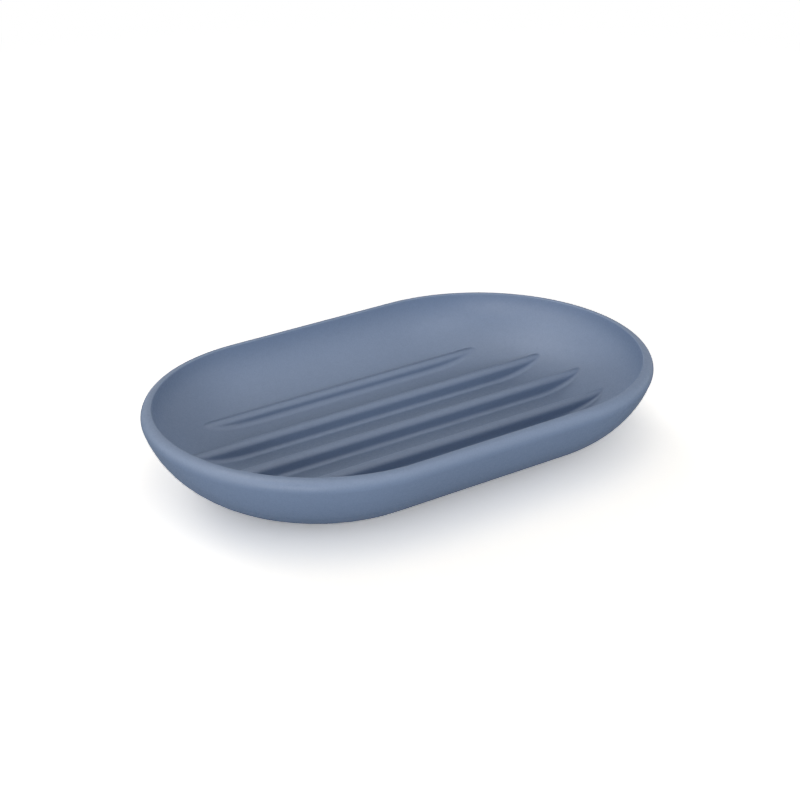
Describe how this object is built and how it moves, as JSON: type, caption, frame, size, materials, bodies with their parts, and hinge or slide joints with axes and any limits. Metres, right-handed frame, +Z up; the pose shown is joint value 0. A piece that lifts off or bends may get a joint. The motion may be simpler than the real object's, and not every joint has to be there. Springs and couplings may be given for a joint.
{
  "type": "soap dish",
  "caption": "Shallow oval soap dish with rounded ends, a smooth rim and lengthwise drain ribs, standing on small non-slip pads.",
  "frame": {"origin": "middle of the plane that the dish stands on, below the centre of the bowl", "axes": "+X along the dish, parallel to the ribs; +Y across it; +Z up out of the bowl"},
  "size_m": [0.14, 0.0888, 0.021],
  "materials": {
    "soft_touch_plastic": "soft-touch satin, slate blue with a fine even grain",
    "pad_rubber": "matt pale grey elastomer"
  },
  "bodies": {
    "root": {"dish_body": "soft_touch_plastic", "nonslip_pad_front_left": "pad_rubber", "nonslip_pad_front_right": "pad_rubber", "nonslip_pad_back_left": "pad_rubber", "nonslip_pad_back_right": "pad_rubber"}
  },
  "joints": []
}
